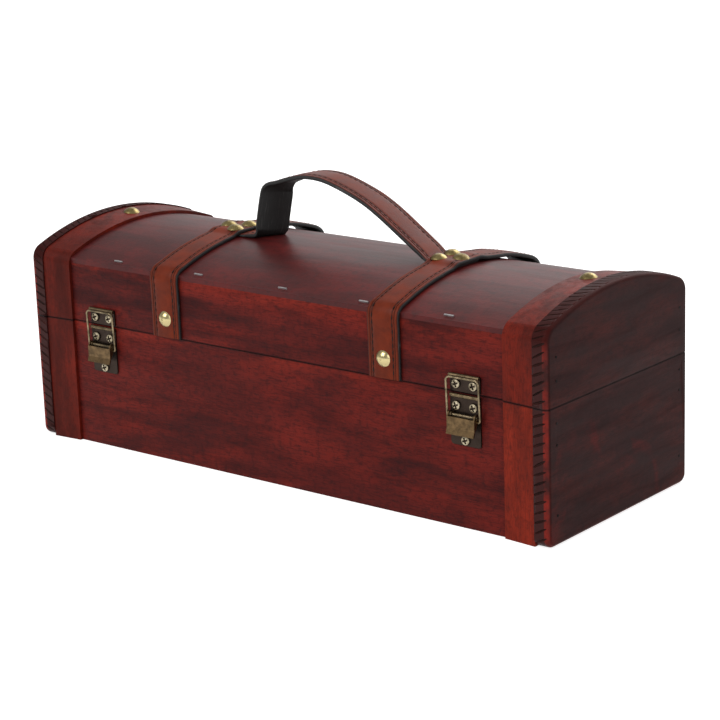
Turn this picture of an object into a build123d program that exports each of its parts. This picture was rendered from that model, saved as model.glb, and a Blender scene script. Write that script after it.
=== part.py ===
from build123d import *
import os
from math import atan2, cos, degrees, radians, sin, sqrt, tan

# A long wooden case with a domed lid, two leather straps over the dome and a leather
# handle between them. All sizes are in millimetres. X runs along the case, Y from the
# front to the back and Z up. The origin is the middle of the underside.

# Case: outer size of the box between its end boards
case_length = 355.0
wall_depth = 120.0
base_height = 71.0
lid_wall_height = 36.0
dome_rise = 12.0
wall_thickness = 7.0
dome_skin_thickness = 2.5
bottom_thickness = 5.0
seam_gap = 0.3

# End boards: rims that stand proud of the walls and the dome
end_board_thickness = 9.0
rim_proud = 4.0
rim_shoulder_radius = 8.0
rim_foot_radius = 5.0
rim_arris_radius = 2.5

# Trim strips beside the end boards, thin on their inner edge
trim_width = 19.0
trim_thin = 1.8
trim_thick = 3.3

# Leather straps over the lid
strap_spacing = 152.0
strap_width = 20.0
leather_thickness = 2.2
strap_end_lift = 0.5
strap_back_lift = 9.0
strap_shoulder_radius = 3.2

# Leather handle: its two ends are pared thin and lie flat under the straps
handle_width = 19.5
handle_thickness = 2.2
handle_tab_thickness = 1.2
handle_tab_inset = 2.0
handle_left_stand = 16.2
handle_left_lean = 5.2
handle_left_height = 29.2
handle_peak_run = 36.8
handle_peak_height = 40.6
handle_slope_run = 42.6
handle_slope_height = 28.9
handle_right_stand = 1.4
handle_bend_radii = (4, 6, 60, 60, 4)
handle_bend_room = 0.95
handle_twist_angles = (0, 28, 25, 5, 5, 5, 0)
handle_bend_steps = 6
tab_clearance = 0.1
tab_ramp = 4.0

# Upholstery nails
nail_head_diameter = 9.5
nail_head_height = 2.6
nail_shank_diameter = 1.6
nail_tip_cover = 0.3
strap_nail_cover = 2.1
nail_hole_spare = 0.6
nail_above_split = 11.0
handle_nail_inner = 5.0
handle_nail_outer = 5.0
handle_nail_spread = 5.8
handle_nail_forward = 1.5

# Brads that hold the end boards, and staples that hold the dome skin
brad_diameter = 1.4
brad_length = 14.0
brad_head_proud = 0.15
lid_brad_heights = (13.0, 25.0)
base_brad_foot = 16.0
base_brad_drops = (19.0, 8.0)
staple_crown = 5.0
staple_wire = 0.8
staple_leg = 5.0
staple_inset = 3.0
staple_outer_gap = 28.4
staple_inner_gaps = (12.0, 5.7)
staple_middle_shift = 5.8

# Fits
shank_clearance = 0.04
pin_clearance = 0.06
running_gap = 0.3
overrun = 1.0

# Hinges on the back wall
hinge_width = 30.0
hinge_leaf_height = 14.0
hinge_leaf_thickness = 1.0
hinge_barrel_radius = 2.2
hinge_pin_radius = 1.0
hinge_pin_head_radius = 1.6
hinge_pin_overhang = 0.3
hinge_corner_radius = 2.0
hinge_knuckles = 3
hinge_screw_inset = 6.0
lid_open_angle = 100.0
notch_spare_angle = 3.0

# Pan-head wood screws
screw_head_diameter = 5.0
screw_head_height = 1.3
screw_edge_height = 0.5
screw_shoulder_inset = 0.3
screw_shoulder_drop = 0.3
screw_flat_inset = 1.1
screw_shank_diameter = 2.2
screw_tip_cover = 2.3
recess_width = 1.0
recess_length = 3.4
recess_depth = 0.9
recess_direction = (1, 0, 0.35)

# Toggle latches on the front: u runs along X, v out of the wall, w up from the split
latch_inset = 23.5
latch_plate_width = 18.4
latch_plate_thickness = 0.9
catch_plate_lift = 0.6
catch_plate_height = 8.15
catch_roll_radius = 1.25
catch_corner_radius = 1.0
catch_screw_rise = 4.0
latch_screw_spacing = 10.6
base_plate_drop = 1.5
base_plate_height = 25.6
base_bead_radius = 1.05
base_corner_radius = 1.6
base_screw_drop = 5.15
foot_screw_rise = 2.9
pivot_out = 3.0
pivot_drop = 9.5
pivot_pin_radius = 0.75
pivot_head_radius = 1.1
pivot_head_height = 0.35
pivot_head_gap = 0.15
ear_inset = 2.6
ear_thickness = 0.8
ear_radius = 1.3
lever_sheet = 0.8
lever_front_gap = 0.3
lever_top_drop = 0.6
lever_length = 8.9
lever_flange_radius = 1.8
lever_lip_flare = 1.0
lever_lip_height = 3.0
bail_pivot_drop = 2.2
bail_pivot_inset = 0.5
bail_boss_wall = 0.55
bail_wire_radius = 0.6
bail_side_gap = 0.15
bail_end_overrun = 0.2
bail_top_drop = 0.35
bail_bend_radius = 2.4
bail_foot_radius = 1.2

# Values worked out from the sizes above
half_length = case_length / 2
half_depth = wall_depth / 2
lid_bottom = base_height + seam_gap
shoulder_height = base_height + lid_wall_height
dome_radius = (half_depth ** 2 + dome_rise ** 2) / (2 * dome_rise)
dome_apex = shoulder_height + dome_rise
dome_centre = dome_apex - dome_radius
inner_half_length = half_length - end_board_thickness
inner_half_depth = half_depth - wall_thickness
trim_inner_edge = inner_half_length - trim_width
strap_half_width = strap_width / 2
strap_centres = (-strap_spacing / 2, strap_spacing / 2)
latch_centres = (-(trim_inner_edge - latch_inset), trim_inner_edge - latch_inset)
hinge_reach = (strap_spacing / 2 + strap_half_width + trim_inner_edge) / 2
hinge_centres = (-hinge_reach, hinge_reach)
side_names = ("left", "right")
hinge_axis_y = half_depth + hinge_barrel_radius + running_gap
hinge_axis_z = base_height + seam_gap / 2
notch_half_angle = (lid_open_angle + notch_spare_angle) / 2
screw_shank_radius = screw_shank_diameter / 2
nail_shank_radius = nail_shank_diameter / 2
brad_radius = brad_diameter / 2
strap_top = dome_apex + handle_tab_thickness + tab_clearance + leather_thickness
screw_length = latch_plate_thickness + wall_thickness - screw_tip_cover
strap_nail_grip = leather_thickness + wall_thickness - strap_nail_cover
handle_nail_grip = strap_top - dome_apex + dome_skin_thickness - nail_tip_cover
trim_nail_grip = (trim_thin + trim_thick) / 2 + dome_skin_thickness - nail_tip_cover
latch_half_width = latch_plate_width / 2
catch_plate_top = catch_plate_lift + catch_plate_height
catch_screw_height = catch_plate_lift + catch_screw_rise
base_plate_top = -base_plate_drop
base_plate_bottom = base_plate_top - base_plate_height
base_screw_height = base_plate_top - base_screw_drop
foot_screw_height = base_plate_bottom + foot_screw_rise
pivot_height = base_plate_top - pivot_drop
ear_inner = latch_half_width - ear_inset
lever_flange_inner = ear_inner + ear_thickness + running_gap
lever_flange_outer = lever_flange_inner + lever_sheet
lever_front_out = pivot_out + ear_radius + lever_front_gap
lever_top = pivot_height - lever_top_drop
lever_bottom = lever_top - lever_length
bail_pivot_out = pivot_out - bail_pivot_inset
bail_pivot_height = pivot_height - bail_pivot_drop
bail_top_out = 2 * catch_roll_radius + running_gap + bail_wire_radius
bail_top_height = catch_plate_top - bail_top_drop
bail_leg_spread = latch_half_width + bail_side_gap + bail_wire_radius
bail_inward_end = lever_flange_inner - bail_end_overrun


def save(shape, name):
    """Write one named piece to its own file."""
    export_step(shape, "parts/" + name + ".step")


def along_x(face, start, end):
    """Extrude a YZ face from X = start to X = end."""
    return Pos(start, 0, 0) * extrude(Plane.YZ * face, amount=end - start)


def block(x_range, y_range, z_range):
    """Rectangular solid between two corners."""
    size = (x_range[1] - x_range[0], y_range[1] - y_range[0], z_range[1] - z_range[0])
    middle = ((x_range[0] + x_range[1]) / 2, (y_range[0] + y_range[1]) / 2, (z_range[0] + z_range[1]) / 2)
    return Pos(*middle) * Box(*size)


def dome_height(y, proud):
    """Height of the dome at depth y, with its surface moved out by proud."""
    return dome_centre + sqrt((dome_radius + proud) ** 2 - y ** 2)


def dome_tilt(y):
    """Angle in degrees of the dome's surface at depth y."""
    return degrees(atan2(y, dome_height(y, 0) - dome_centre))


def lid_outline(proud, bottom, shoulder_radius=0.0):
    """Cross-section of the lid in the YZ plane, moved out by proud."""
    half = half_depth + proud
    shoulder = dome_height(half, proud)
    sides = Polyline((half, shoulder), (half, bottom), (-half, bottom), (-half, shoulder))
    arc = ThreePointArc((-half, shoulder), (0, dome_height(0, proud)), (half, shoulder))
    face = make_face([*sides.edges(), arc.edge()])
    if shoulder_radius > 0:
        corners = [v for v in face.vertices() if v.Y > shoulder - 1]
        face = fillet(corners, shoulder_radius)
    return face


def hinge_notch(start, end):
    """Wedge cut out of the rims at the back, so that the lid can swing."""
    reach = 3 * rim_proud
    rise = reach * tan(radians(notch_half_angle))
    vertex = hinge_axis_y - running_gap
    wedge = make_face(Polyline((vertex, hinge_axis_z), (vertex + reach, hinge_axis_z + rise),
                               (vertex + reach, hinge_axis_z - rise), close=True))
    return along_x(wedge, start, end)


def hole(position, direction, radius, depth):
    """Cylinder to cut, from position along direction."""
    return Plane(origin=position, z_dir=direction) * Cylinder(
        radius, depth, align=(Align.CENTER, Align.CENTER, Align.MIN))


def end_brad_places(lid):
    """Depths and heights of the brads in one end board."""
    depth = half_depth - wall_thickness / 2
    if lid:
        heights = [lid_bottom + rise for rise in lid_brad_heights]
    else:
        heights = [base_brad_foot] + [base_height - drop for drop in base_brad_drops]
    return [(side * depth, height) for side in (-1, 1) for height in heights]


def brad_holes(side, lid):
    """Holes for the brads of one end."""
    holes = [hole((side * (half_length + overrun), y, z), (-side, 0, 0), brad_radius + shank_clearance,
                  brad_length + overrun) for y, z in end_brad_places(lid)]
    return Compound(holes)


def end_brads(lid):
    """Headless brads through both end boards into the walls."""
    brads = []
    for side in (-1, 1):
        for y, z in end_brad_places(lid):
            head = (side * (half_length + brad_head_proud), y, z)
            brads.append(hole(head, (-side, 0, 0), brad_radius, brad_length))
    return Compound(brads)


def latch_point(centre, u, v, w):
    """Place in the case of a point in a latch's own directions."""
    return (centre + u, -half_depth - v, base_height + w)


def catch_screw_places(centre):
    """Screw seats of one catch plate."""
    half = latch_screw_spacing / 2
    return [latch_point(centre, u, latch_plate_thickness, catch_screw_height) for u in (-half, half)]


def base_screw_places(centre):
    """Screw seats of one latch base plate."""
    half = latch_screw_spacing / 2
    upper = [latch_point(centre, u, latch_plate_thickness, base_screw_height) for u in (-half, half)]
    return upper + [latch_point(centre, 0, latch_plate_thickness, foot_screw_height)]


def hinge_screw_places(centre, lid):
    """Screw seats of one hinge leaf."""
    half = hinge_width / 2 - hinge_screw_inset
    sign = 1 if lid else -1
    z = hinge_axis_z + sign * (hinge_barrel_radius + (hinge_leaf_height - hinge_barrel_radius) / 2)
    return [(centre + u, half_depth + hinge_leaf_thickness, z) for u in (-half, half)]


def screw_holes(places, direction):
    """Holes for a group of screws that point along direction."""
    radius = screw_shank_radius + shank_clearance
    return Compound([hole(place, direction, radius, screw_length + running_gap) for place in places])


def domed_head(radius, height):
    """Spherical cap that stands on the XY plane."""
    sphere_radius = (radius ** 2 + height ** 2) / (2 * height)
    ball = Pos(0, 0, height - sphere_radius) * Sphere(sphere_radius)
    return ball & Cylinder(radius + overrun, height + overrun, align=(Align.CENTER, Align.CENTER, Align.MIN))


def pan_head():
    """Head of a screw above the XY plane: an upright edge, two bevels and a flat top."""
    radius = screw_head_diameter / 2
    top = screw_head_height
    section = make_face(Polyline((0, 0), (radius, 0), (radius, screw_edge_height),
                                 (radius - screw_shoulder_inset, top - screw_shoulder_drop),
                                 (radius - screw_flat_inset, top), (0, top), close=True))
    return revolve(Plane.XZ * section, Axis.Z)


def screw():
    """Screw with a pan head above the XY plane and a cross recess."""
    head = pan_head()
    shank = Cylinder(screw_shank_radius, screw_length, align=(Align.CENTER, Align.CENTER, Align.MAX))
    floor = screw_head_height - recess_depth
    bar = Pos(0, 0, floor) * Box(recess_length, recess_width, recess_depth * 2,
                                 align=(Align.CENTER, Align.CENTER, Align.MIN))
    return head + shank - bar - Rot(0, 0, 90) * bar


def screws(places, outward):
    """Group of screws with their heads pointing outward."""
    one = screw()
    return Compound([Plane(origin=p, x_dir=recess_direction, z_dir=outward) * one for p in places])


def nail(grip):
    """Upholstery nail with a domed head above the XY plane."""
    shank = Cylinder(nail_shank_radius, grip, align=(Align.CENTER, Align.CENTER, Align.MAX))
    return domed_head(nail_head_diameter / 2, nail_head_height) + shank


def strap_nail_planes():
    """Planes of the nails at the strap ends, front and back."""
    height = base_height + nail_above_split
    out = half_depth + leather_thickness
    planes = []
    for centre in strap_centres:
        planes.append(Plane(origin=(centre, -out, height), x_dir=(1, 0, 0), z_dir=(0, -1, 0)))
        planes.append(Plane(origin=(centre, out, height + strap_back_lift), x_dir=(1, 0, 0), z_dir=(0, 1, 0)))
    return planes


def handle_nail_planes():
    """Planes of the three nails at each end of the handle."""
    planes = []
    for side in (-1, 1):
        inner = side * (strap_spacing / 2 - handle_nail_inner)
        outer = side * (strap_spacing / 2 + handle_nail_outer)
        for x, spread in ((inner, -handle_nail_spread), (inner, handle_nail_spread), (outer, 0)):
            planes.append(Plane(origin=(x, spread - handle_nail_forward, strap_top)))
    return planes


def trim_nail_planes():
    """Planes of the nails on top of the two trim strips."""
    height = dome_apex + (trim_thin + trim_thick) / 2
    x = inner_half_length - trim_width / 2
    rise = trim_thick - trim_thin
    return [Plane(origin=(side * x, 0, height), x_dir=(0, 1, 0), z_dir=(-side * rise, 0, trim_width))
            for side in (-1, 1)]


def nails(planes, grip):
    """Group of upholstery nails, one on each plane."""
    one = nail(grip)
    return Compound([plane * one for plane in planes])


def nail_holes(planes, grip):
    """Holes for a group of nails."""
    radius = nail_shank_radius + shank_clearance
    cutter = hole((0, 0, overrun), (0, 0, -1), radius, grip + nail_hole_spare + overrun)
    return Compound([plane * cutter for plane in planes])


def base_bottom_panel():
    """Bottom board between the walls and the end boards."""
    x_range = (-inner_half_length, inner_half_length)
    y_range = (-inner_half_depth, inner_half_depth)
    return block(x_range, y_range, (0, bottom_thickness))


def base_wall(side):
    """Front (side -1) or back (side 1) wall of the base, with its screw and brad holes."""
    y_range = sorted((side * half_depth, side * inner_half_depth))
    wall = block((-inner_half_length, inner_half_length), y_range, (0, base_height))
    for end in (-1, 1):
        wall = wall - brad_holes(end, False)
    if side < 0:
        for centre in latch_centres:
            wall = wall - screw_holes(base_screw_places(centre), (0, 1, 0))
    else:
        for centre in hinge_centres:
            wall = wall - screw_holes(hinge_screw_places(centre, False), (0, -1, 0))
    return wall


def base_end_board(side):
    """End board of the base, with rounded foot corners and a rounded outer arris."""
    half = half_depth + rim_proud
    outline = Pos(0, base_height / 2) * Rectangle(2 * half, base_height)
    feet = [v for v in outline.vertices() if v.Y < 1]
    outline = fillet(feet, rim_foot_radius)
    board = along_x(outline, inner_half_length, half_length)
    arris = [e for e in board.faces().sort_by(Axis.X)[-1].edges() if e.center().Z < base_height - 1]
    board = fillet(arris, rim_arris_radius)
    board = board - hinge_notch(inner_half_length - overrun, half_length + overrun) - brad_holes(1, False)
    return board if side > 0 else mirror(board, Plane.YZ)


def base_trim(side, face):
    """Wedge-shaped trim strip on the front (face -1) or back (face 1) wall of the base."""
    section = make_face(Polyline((trim_inner_edge, half_depth), (inner_half_length, half_depth),
                                 (inner_half_length, half_depth + trim_thick),
                                 (trim_inner_edge, half_depth + trim_thin), close=True))
    strip = extrude(section, amount=base_height)
    if face > 0:
        strip = strip - hinge_notch(trim_inner_edge - overrun, inner_half_length + overrun)
    else:
        strip = mirror(strip, Plane.XZ)
    return strip if side > 0 else mirror(strip, Plane.YZ)


def lid_wall(side):
    """Front or back wall of the lid, its top cut to the underside of the dome skin."""
    y_range = sorted((side * half_depth, side * inner_half_depth))
    wall = block((-inner_half_length, inner_half_length), y_range, (lid_bottom, dome_apex))
    wall = wall & along_x(lid_outline(0, lid_bottom), -half_length, half_length)
    skin = dome_cylinder(0) - dome_cylinder(-dome_skin_thickness)
    wall = wall - skin
    for end in (-1, 1):
        wall = wall - brad_holes(end, True)
    wall = wall - nail_holes(strap_nail_planes(), strap_nail_grip) - staple_holes()
    if side < 0:
        for centre in latch_centres:
            wall = wall - screw_holes(catch_screw_places(centre), (0, 1, 0))
    else:
        for centre in hinge_centres:
            wall = wall - screw_holes(hinge_screw_places(centre, True), (0, -1, 0))
    return wall.solids().sort_by(SortBy.VOLUME)[-1]


def dome_cylinder(proud):
    """Solid cylinder whose top is the dome, moved out by proud."""
    return Pos(0, 0, dome_centre) * Rot(0, 90, 0) * Cylinder(dome_radius + proud, case_length)


def dome_skin():
    """Bent plywood skin over the walls, between the end boards."""
    band = dome_cylinder(0) - dome_cylinder(-dome_skin_thickness)
    cover = band & block((-inner_half_length, inner_half_length), (-half_depth, half_depth),
                         (base_height, dome_apex + overrun))
    cover = cover - nail_holes(handle_nail_planes(), handle_nail_grip)
    cover = cover - nail_holes(trim_nail_planes(), trim_nail_grip)
    return cover - staple_holes()


def staple_places():
    """Centres of the staples along the front edge of the dome skin: two outside the straps, three between."""
    outer = strap_spacing / 2 + strap_half_width + staple_outer_gap
    inner = strap_spacing / 2 - strap_half_width
    left_gap, right_gap = staple_inner_gaps
    return [-outer, left_gap - inner, staple_middle_shift, inner - right_gap, outer]


def staple(clearance=0.0):
    """Staple of flat wire: a crown on the dome skin and two legs into the wall below."""
    wire = staple_wire / 2 + clearance
    half = staple_crown / 2
    shape = block((-half, half), (-wire, wire), (0, staple_wire))
    for x in (-half, half):
        shape = shape + block((x - wire, x + wire), (-wire, wire), (-staple_leg - clearance, staple_wire))
    return shape


def staple_planes():
    """Planes of the staples, flat on the dome skin."""
    y = -half_depth + staple_inset
    tilt = radians(dome_tilt(y))
    normal = (0, sin(tilt), cos(tilt))
    return [Plane(origin=(x, y, dome_height(y, 0)), x_dir=(1, 0, 0), z_dir=normal) for x in staple_places()]


def dome_staples():
    """All staples of the dome skin."""
    one = staple()
    return Compound([plane * one for plane in staple_planes()])


def staple_holes():
    """Holes for the legs of the staples."""
    one = staple(shank_clearance)
    return Compound([plane * one for plane in staple_planes()])


def lid_end_board(side):
    """Domed end board of the lid, with rounded shoulders and a rounded outer arris."""
    outline = lid_outline(rim_proud, lid_bottom, rim_shoulder_radius)
    board = along_x(outline, inner_half_length, half_length)
    arris = [e for e in board.faces().sort_by(Axis.X)[-1].edges() if e.center().Z > lid_bottom + 1]
    board = fillet(arris, rim_arris_radius)
    board = board - hinge_notch(inner_half_length - overrun, half_length + overrun) - brad_holes(1, True)
    return board if side > 0 else mirror(board, Plane.YZ)


def lid_trim(side):
    """Trim strip bent over the lid beside one end board, thin on its inner edge."""
    start = trim_inner_edge - overrun
    end = inner_half_length + overrun
    thin = Plane.YZ * lid_outline(trim_thin, lid_bottom, rim_shoulder_radius)
    thick = Plane.YZ * lid_outline(trim_thick, lid_bottom, rim_shoulder_radius)
    strip = loft([Pos(trim_inner_edge, 0, 0) * thin, Pos(inner_half_length, 0, 0) * thick], ruled=True)
    strip = strip - along_x(lid_outline(0, base_height - overrun), start, end) - hinge_notch(start, end)
    strip = strip - nail_holes(trim_nail_planes(), trim_nail_grip)
    return strip if side > 0 else mirror(strip, Plane.YZ)


def tab_bump(extra):
    """Cross-section of the rise where a strap passes over a handle end."""
    half = handle_width / 2 + tab_clearance + extra
    top = dome_apex + handle_tab_thickness + tab_clearance + extra
    foot = half + tab_ramp
    low = dome_height(foot, 0) - overrun
    return make_face(Polyline((-foot, low), (-foot, dome_height(foot, 0) + extra), (-half, top), (half, top),
                              (foot, dome_height(foot, 0) + extra), (foot, low), close=True))


def strap(centre):
    """Leather strap from the front edge of the lid over the dome and down the back."""
    start = centre - strap_half_width
    end = centre + strap_half_width
    outer = along_x(lid_outline(leather_thickness, lid_bottom, strap_shoulder_radius), start, end)
    outer = outer + along_x(tab_bump(leather_thickness), start, end)
    core = along_x(lid_outline(0, base_height - overrun), start - overrun, end + overrun)
    core = core + along_x(tab_bump(0), start - overrun, end + overrun)
    x_range = (start - overrun, end + overrun)
    reach = half_depth + leather_thickness + overrun
    band = outer - core
    band = band - block(x_range, (-reach, 0), (base_height - overrun, base_height + strap_end_lift))
    band = band - block(x_range, (0, reach), (base_height - overrun, base_height + strap_back_lift))
    band = band - nail_holes(strap_nail_planes(), strap_nail_grip)
    band = band - nail_holes(handle_nail_planes(), handle_nail_grip)
    return band


def handle_corners():
    """Corners of the handle's middle line in the XZ plane, from its left end to its right end."""
    tab = dome_apex + handle_tab_thickness / 2
    tab_end = strap_spacing / 2 + strap_half_width - handle_tab_inset
    left = -strap_spacing / 2 + strap_half_width + handle_left_stand
    right = strap_spacing / 2 - strap_half_width - handle_right_stand
    return [(-tab_end, tab), (left, tab), (left + handle_left_lean, tab + handle_left_height),
            (left + handle_peak_run, tab + handle_peak_height),
            (right - handle_slope_run, tab + handle_slope_height), (right, tab), (tab_end, tab)]


def handle_bends():
    """Radius of each bend of the handle, limited by the straight runs beside it."""
    corners = [Vector(*corner) for corner in handle_corners()]
    runs = [b - a for a, b in zip(corners, corners[1:])]
    reaches = [radius * tan(radians(a.get_angle(b) / 2))
               for radius, a, b in zip(handle_bend_radii, runs, runs[1:])]
    taken = [a + b for a, b in zip([0] + reaches, reaches + [0])]
    shares = [min(1, handle_bend_room * run.length / reach) for run, reach in zip(runs, taken)]
    return [radius * min(a, b) for radius, a, b in zip(handle_bend_radii, shares, shares[1:])]


def handle_stations(path):
    """Distances along the handle of its sections: both ends of each straight run, and steps in each bend."""
    stations = [0.0]
    for edge in path.order_edges():
        steps = 1 if edge.geom_type == GeomType.LINE else handle_bend_steps
        start = stations[-1]
        stations += [start + edge.length * (i + 1) / steps for i in range(steps)]
    return stations


def interpolate(place, places, values):
    """Value at one place on the straight runs between known places."""
    last = len(places) - 2
    i = min(sum(place > known for known in places[1:]), last)
    share = (place - places[i]) / (places[i + 1] - places[i])
    return values[i] + (values[i + 1] - values[i]) * share


def corner_distances(path):
    """Distance along the handle of each corner of its middle line."""
    corners = [Vector(*corner) for corner in handle_corners()]
    runs = [(b - a).length for a, b in zip(corners, corners[1:])]
    shrink = path.length / sum(runs)
    return [shrink * sum(runs[:i]) for i in range(len(corners))]


def handle():
    """Leather handle: it stands up steeply and twisted at the left and slopes down at the right."""
    path = Plane.XZ * FilletPolyline(*handle_corners(), radius=handle_bends())
    places = corner_distances(path)
    middle = [handle_thickness] * (len(places) - 4)
    thicknesses = [handle_tab_thickness] * 2 + middle + [handle_tab_thickness] * 2
    sections = []
    for place in handle_stations(path):
        share = min(place / path.length, 1.0)
        twist = -interpolate(place, places, handle_twist_angles)
        width = Vector(0, 1, 0).rotate(Axis.Z, twist)
        section = Plane(origin=path @ share, x_dir=width, z_dir=(path % share).rotate(Axis.Z, twist))
        sections.append(section * Rectangle(handle_width, interpolate(place, places, thicknesses)))
    band = loft(sections, ruled=True)
    return band - nail_holes(handle_nail_planes(), handle_nail_grip)


def hinge_span(centre, first, last):
    """X range of the knuckles from number first up to number last."""
    start = centre - hinge_width / 2
    knuckle = hinge_width / hinge_knuckles
    return start + knuckle * first, start + knuckle * last


def at_hinge_axis(radius, start, end):
    """Cylinder on the hinge axis."""
    return Pos(0, hinge_axis_y, hinge_axis_z) * along_x(Circle(radius), start, end)


def hinge_leaf(centre, lid):
    """One leaf of a hinge with its share of the knuckles."""
    sign = 1 if lid else -1
    start, end = hinge_span(centre, 0, hinge_knuckles)
    heights = sorted((hinge_axis_z + sign * seam_gap, hinge_axis_z + sign * hinge_leaf_height))
    leaf = block((start, end), (half_depth, half_depth + hinge_leaf_thickness), heights)
    corners = leaf.edges().filter_by(Axis.Y).group_by(Axis.Z)[-1 if lid else 0]
    leaf = fillet(corners, hinge_corner_radius)
    for i in range(hinge_knuckles):
        low, high = hinge_span(centre, i, i + 1)
        if (i % 2 == 0) == lid:
            leaf = leaf + at_hinge_axis(hinge_barrel_radius, low + pin_clearance, high - pin_clearance)
        else:
            slot_radius = hinge_barrel_radius + running_gap
            leaf = leaf - at_hinge_axis(slot_radius, low - pin_clearance, high + pin_clearance)
    bore = at_hinge_axis(hinge_pin_radius + pin_clearance, start - overrun, end + overrun)
    return leaf - bore - screw_holes(hinge_screw_places(centre, lid), (0, -1, 0))


def hinge_pin(centre):
    """Pin through the knuckles of one hinge, with a flat head at each end."""
    start, end = hinge_span(centre, 0, hinge_knuckles)
    pin = at_hinge_axis(hinge_pin_radius, start - hinge_pin_overhang, end + hinge_pin_overhang)
    near = hinge_pin_overhang / 2
    far = hinge_pin_overhang * 2
    left = at_hinge_axis(hinge_pin_head_radius, start - far, start - near)
    right = at_hinge_axis(hinge_pin_head_radius, end + near, end + far)
    return pin + left + right


def at_latch(centre, shape):
    """Move a piece made at the origin to one latch, its back on the front wall."""
    return Pos(centre, -half_depth, base_height) * shape


def latch_section(points):
    """Face in the YZ plane from points given as distance out of the wall and height."""
    return make_face(Polyline(*[(-v, w) for v, w in points], close=True))


def latch_disc(out, height, radius):
    """Disc in the YZ plane at a distance out of the wall and a height."""
    return Pos(-out, height) * Circle(radius)


def latch_plate(bottom, top, corner):
    """Flat plate against the wall with two rounded corners at its bottom."""
    plate = block((-latch_half_width, latch_half_width), (-latch_plate_thickness, 0), (bottom, top))
    return fillet(plate.edges().filter_by(Axis.Y).group_by(Axis.Z)[0], corner)


def on_both_sides(section, inner, outer):
    """The same section extruded between inner and outer on both sides of the latch."""
    return [along_x(section, *sorted((side * inner, side * outer))) for side in (-1, 1)]


def catch_plate(centre):
    """Plate on the lid whose top edge is rolled outward."""
    inside = catch_roll_radius - latch_plate_thickness
    roll = latch_disc(catch_roll_radius, catch_plate_top, catch_roll_radius)
    roll = roll - latch_disc(catch_roll_radius, catch_plate_top, inside)
    low = catch_plate_top - 2 * catch_roll_radius
    mouth = latch_section([(catch_roll_radius, catch_plate_top), (2 * catch_roll_radius, low),
                           (latch_plate_thickness, low), (latch_plate_thickness, catch_plate_top)])
    plate = latch_plate(catch_plate_lift, catch_plate_top, catch_corner_radius)
    plate = plate + along_x(roll - mouth, -latch_half_width, latch_half_width)
    return at_latch(centre, plate) - screw_holes(catch_screw_places(centre), (0, 1, 0))


def base_plate(centre):
    """Plate on the base with a bead along its top and two ears for the lever's pivot."""
    plate = latch_plate(base_plate_bottom, base_plate_top, base_corner_radius)
    plate = plate + along_x(latch_disc(base_bead_radius, base_plate_top, base_bead_radius),
                            -latch_half_width, latch_half_width)
    seat = latch_plate_thickness / 2
    foot = latch_section([(seat, pivot_height - 2 * ear_radius), (pivot_out, pivot_height - ear_radius),
                          (pivot_out, pivot_height + ear_radius), (seat, pivot_height + ear_radius)])
    ear = foot + latch_disc(pivot_out, pivot_height, ear_radius)
    ear = ear - latch_disc(pivot_out, pivot_height, pivot_pin_radius + shank_clearance)
    for lug in on_both_sides(ear, ear_inner, ear_inner + ear_thickness):
        plate = plate + lug
    return at_latch(centre, plate) - screw_holes(base_screw_places(centre), (0, 1, 0))


def pivot_pin(centre):
    """Pin of the lever, fixed in the ears, with a flat head at each end."""
    reach = lever_flange_outer + pivot_head_gap
    pin = along_x(latch_disc(pivot_out, pivot_height, pivot_pin_radius), -reach, reach)
    flat_head = latch_disc(pivot_out, pivot_height, pivot_head_radius)
    for head in on_both_sides(flat_head, reach, reach + pivot_head_height):
        pin = pin + head
    return at_latch(centre, pin)


def lever(centre):
    """Lever with a flared thumb tab and two side flanges round the pivot and the bail."""
    inner = lever_front_out
    outer = lever_front_out + lever_sheet
    bend = lever_bottom + lever_lip_height
    front = latch_section([(inner, lever_top), (outer, lever_top), (outer, bend),
                           (outer + lever_lip_flare, lever_bottom), (inner + lever_lip_flare, lever_bottom),
                           (inner, bend)])
    shape = along_x(front, -lever_flange_outer, lever_flange_outer)
    boss_radius = bail_wire_radius + bail_boss_wall
    web = latch_section([(pivot_out, pivot_height + lever_flange_radius), (outer, lever_top), (outer, bend),
                         (inner, bend), (bail_pivot_out, bail_pivot_height - boss_radius),
                         (bail_pivot_out, pivot_height)])
    flange = web + latch_disc(pivot_out, pivot_height, lever_flange_radius)
    flange = flange + latch_disc(bail_pivot_out, bail_pivot_height, boss_radius)
    flange = flange - latch_disc(pivot_out, pivot_height, pivot_pin_radius + pin_clearance)
    flange = flange - latch_disc(bail_pivot_out, bail_pivot_height, bail_wire_radius + pin_clearance)
    for side in on_both_sides(flange, lever_flange_inner, lever_flange_outer):
        shape = shape + side
    return at_latch(centre, shape)


def bail(centre):
    """Wire bail: its two inward ends turn in the lever, its top run lies over the rolled edge."""
    low = (-bail_pivot_out, bail_pivot_height)
    high = (-bail_top_out, bail_top_height)
    points = [(-bail_inward_end, *low), (-bail_leg_spread, *low), (-bail_leg_spread, *high),
              (bail_leg_spread, *high), (bail_leg_spread, *low), (bail_inward_end, *low)]
    radii = [bail_foot_radius, bail_bend_radius, bail_bend_radius, bail_foot_radius]
    path = FilletPolyline(*points, radius=radii)
    section = Plane(origin=path @ 0, z_dir=path % 0) * Circle(bail_wire_radius)
    return at_latch(centre, sweep(section, path))


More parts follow.
